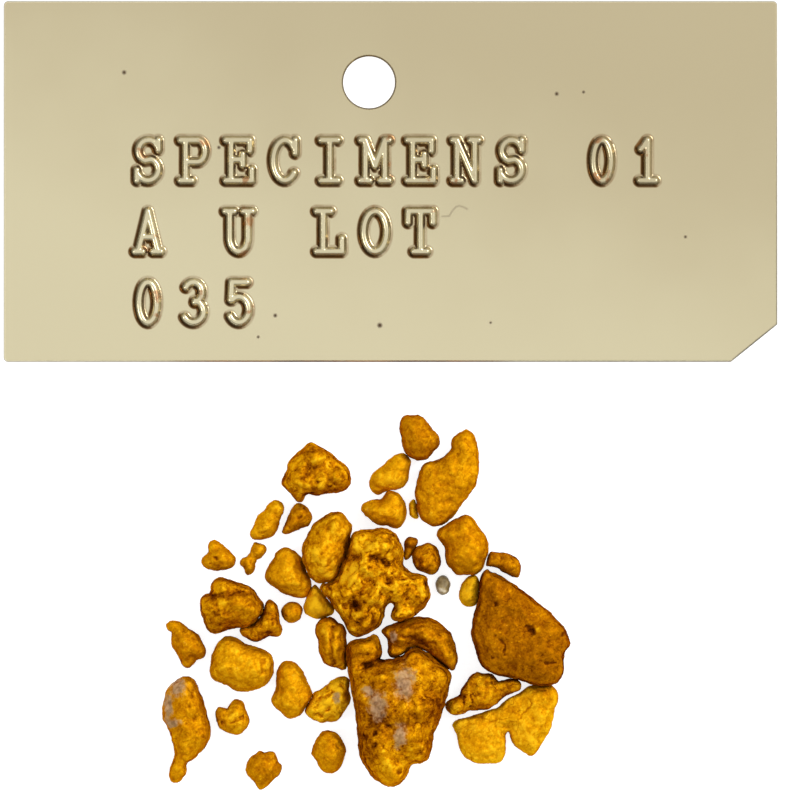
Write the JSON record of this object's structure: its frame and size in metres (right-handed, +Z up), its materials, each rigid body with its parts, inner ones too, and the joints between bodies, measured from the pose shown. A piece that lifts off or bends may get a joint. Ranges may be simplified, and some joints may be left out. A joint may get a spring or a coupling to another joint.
{
  "type": "gold nugget sample with metal tag",
  "caption": "Thin embossed metal identification tag with a hanging hole and one clipped corner, and the loose natural gold nuggets it labels, laid out beside it.",
  "frame": {"origin": "on the table, under the middle of the whole layout of tag and nuggets", "axes": "+Z up, away from the table; +Y from the nuggets towards the tag's hole edge; +X along the tag's text"},
  "size_m": [0.0432, 0.0441, 0.0036],
  "materials": {
    "tag_metal": "satin lacquer",
    "gold_bright": "natural satin gold",
    "gold_amber": "natural satin gold",
    "gold_deep": "natural dull gold",
    "gold_quartz": "natural gold with quartz",
    "grey_stone": "smooth stone"
  },
  "bodies": {
    "tag": {"tag_plate": "tag_metal"},
    "crystalline_nugget": {"crystalline_nugget": "gold_bright"},
    "boot_nugget": {"boot_nugget": "gold_quartz"},
    "slab_nugget": {"slab_nugget": "gold_deep"},
    "fish_nugget": {"fish_nugget": "gold_amber"},
    "crescent_nugget": {"crescent_nugget": "gold_amber"},
    "block_nugget": {"block_nugget": "gold_amber"},
    "butterfly_nugget": {"butterfly_nugget": "gold_bright"},
    "hood_nugget": {"hood_nugget": "gold_deep"},
    "loaf_nugget": {"loaf_nugget": "gold_bright"},
    "veined_nugget": {"veined_nugget": "gold_quartz"},
    "cluster_nugget": {"cluster_nugget": "gold_deep"},
    "cap_nugget": {"cap_nugget": "gold_amber"},
    "oval_nugget": {"oval_nugget": "gold_amber"},
    "pebble_nugget": {"pebble_nugget": "gold_amber"},
    "wedge_nugget": {"wedge_nugget": "gold_amber"},
    "ribbed_nugget": {"ribbed_nugget": "gold_deep"},
    "openwork_nugget": {"openwork_nugget": "gold_bright"},
    "knuckle_nugget": {"knuckle_nugget": "gold_deep"},
    "knobby_nugget": {"knobby_nugget": "gold_deep"},
    "heart_nugget": {"heart_nugget": "gold_amber"},
    "acorn_nugget": {"acorn_nugget": "gold_deep"},
    "slipper_nugget": {"slipper_nugget": "gold_amber"},
    "finger_nugget": {"finger_nugget": "gold_deep"},
    "half_moon_nugget": {"half_moon_nugget": "gold_bright"},
    "button_nugget": {"button_nugget": "gold_deep"},
    "stick_nugget": {"stick_nugget": "gold_deep"},
    "nut_nugget": {"nut_nugget": "gold_amber"},
    "star_nugget": {"star_nugget": "gold_amber"},
    "claw_nugget": {"claw_nugget": "gold_amber"},
    "fin_nugget": {"fin_nugget": "gold_deep"},
    "kidney_nugget": {"kidney_nugget": "gold_amber"},
    "slug_nugget": {"slug_nugget": "gold_amber"},
    "teardrop_nugget": {"teardrop_nugget": "gold_deep"},
    "bone_nugget": {"bone_nugget": "gold_amber"},
    "pea_nugget": {"pea_nugget": "gold_amber"},
    "chip_nugget": {"chip_nugget": "gold_deep"},
    "stone_grain": {"stone_grain": "grey_stone"}
  },
  "joints": [
    {"name": "crystalline_nugget_lift", "type": "slide", "parent": "tag", "child": "crystalline_nugget", "axis": [0, 0, 1], "range_m": [0, 0.012]},
    {"name": "boot_nugget_lift", "type": "slide", "parent": "tag", "child": "boot_nugget", "axis": [0, 0, 1], "range_m": [0, 0.012]},
    {"name": "slab_nugget_lift", "type": "slide", "parent": "tag", "child": "slab_nugget", "axis": [0, 0, 1], "range_m": [0, 0.012]},
    {"name": "fish_nugget_lift", "type": "slide", "parent": "tag", "child": "fish_nugget", "axis": [0, 0, 1], "range_m": [0, 0.012]},
    {"name": "crescent_nugget_lift", "type": "slide", "parent": "tag", "child": "crescent_nugget", "axis": [0, 0, 1], "range_m": [0, 0.012]},
    {"name": "block_nugget_lift", "type": "slide", "parent": "tag", "child": "block_nugget", "axis": [0, 0, 1], "range_m": [0, 0.012]},
    {"name": "butterfly_nugget_lift", "type": "slide", "parent": "tag", "child": "butterfly_nugget", "axis": [0, 0, 1], "range_m": [0, 0.012]},
    {"name": "hood_nugget_lift", "type": "slide", "parent": "tag", "child": "hood_nugget", "axis": [0, 0, 1], "range_m": [0, 0.012]},
    {"name": "loaf_nugget_lift", "type": "slide", "parent": "tag", "child": "loaf_nugget", "axis": [0, 0, 1], "range_m": [0, 0.012]},
    {"name": "veined_nugget_lift", "type": "slide", "parent": "tag", "child": "veined_nugget", "axis": [0, 0, 1], "range_m": [0, 0.012]},
    {"name": "cluster_nugget_lift", "type": "slide", "parent": "tag", "child": "cluster_nugget", "axis": [0, 0, 1], "range_m": [0, 0.012]},
    {"name": "cap_nugget_lift", "type": "slide", "parent": "tag", "child": "cap_nugget", "axis": [0, 0, 1], "range_m": [0, 0.012]},
    {"name": "oval_nugget_lift", "type": "slide", "parent": "tag", "child": "oval_nugget", "axis": [0, 0, 1], "range_m": [0, 0.012]},
    {"name": "pebble_nugget_lift", "type": "slide", "parent": "tag", "child": "pebble_nugget", "axis": [0, 0, 1], "range_m": [0, 0.012]},
    {"name": "wedge_nugget_lift", "type": "slide", "parent": "tag", "child": "wedge_nugget", "axis": [0, 0, 1], "range_m": [0, 0.012]},
    {"name": "ribbed_nugget_lift", "type": "slide", "parent": "tag", "child": "ribbed_nugget", "axis": [0, 0, 1], "range_m": [0, 0.012]},
    {"name": "openwork_nugget_lift", "type": "slide", "parent": "tag", "child": "openwork_nugget", "axis": [0, 0, 1], "range_m": [0, 0.012]},
    {"name": "knuckle_nugget_lift", "type": "slide", "parent": "tag", "child": "knuckle_nugget", "axis": [0, 0, 1], "range_m": [0, 0.012]},
    {"name": "knobby_nugget_lift", "type": "slide", "parent": "tag", "child": "knobby_nugget", "axis": [0, 0, 1], "range_m": [0, 0.012]},
    {"name": "heart_nugget_lift", "type": "slide", "parent": "tag", "child": "heart_nugget", "axis": [0, 0, 1], "range_m": [0, 0.012]},
    {"name": "acorn_nugget_lift", "type": "slide", "parent": "tag", "child": "acorn_nugget", "axis": [0, 0, 1], "range_m": [0, 0.012]},
    {"name": "slipper_nugget_lift", "type": "slide", "parent": "tag", "child": "slipper_nugget", "axis": [0, 0, 1], "range_m": [0, 0.012]},
    {"name": "finger_nugget_lift", "type": "slide", "parent": "tag", "child": "finger_nugget", "axis": [0, 0, 1], "range_m": [0, 0.012]},
    {"name": "half_moon_nugget_lift", "type": "slide", "parent": "tag", "child": "half_moon_nugget", "axis": [0, 0, 1], "range_m": [0, 0.012]},
    {"name": "button_nugget_lift", "type": "slide", "parent": "tag", "child": "button_nugget", "axis": [0, 0, 1], "range_m": [0, 0.012]},
    {"name": "stick_nugget_lift", "type": "slide", "parent": "tag", "child": "stick_nugget", "axis": [0, 0, 1], "range_m": [0, 0.012]},
    {"name": "nut_nugget_lift", "type": "slide", "parent": "tag", "child": "nut_nugget", "axis": [0, 0, 1], "range_m": [0, 0.012]},
    {"name": "star_nugget_lift", "type": "slide", "parent": "tag", "child": "star_nugget", "axis": [0, 0, 1], "range_m": [0, 0.012]},
    {"name": "claw_nugget_lift", "type": "slide", "parent": "tag", "child": "claw_nugget", "axis": [0, 0, 1], "range_m": [0, 0.012]},
    {"name": "fin_nugget_lift", "type": "slide", "parent": "tag", "child": "fin_nugget", "axis": [0, 0, 1], "range_m": [0, 0.012]},
    {"name": "kidney_nugget_lift", "type": "slide", "parent": "tag", "child": "kidney_nugget", "axis": [0, 0, 1], "range_m": [0, 0.012]},
    {"name": "slug_nugget_lift", "type": "slide", "parent": "tag", "child": "slug_nugget", "axis": [0, 0, 1], "range_m": [0, 0.012]},
    {"name": "teardrop_nugget_lift", "type": "slide", "parent": "tag", "child": "teardrop_nugget", "axis": [0, 0, 1], "range_m": [0, 0.012]},
    {"name": "bone_nugget_lift", "type": "slide", "parent": "tag", "child": "bone_nugget", "axis": [0, 0, 1], "range_m": [0, 0.012]},
    {"name": "pea_nugget_lift", "type": "slide", "parent": "tag", "child": "pea_nugget", "axis": [0, 0, 1], "range_m": [0, 0.012]},
    {"name": "chip_nugget_lift", "type": "slide", "parent": "tag", "child": "chip_nugget", "axis": [0, 0, 1], "range_m": [0, 0.012]},
    {"name": "stone_grain_lift", "type": "slide", "parent": "tag", "child": "stone_grain", "axis": [0, 0, 1], "range_m": [0, 0.012]}
  ]
}
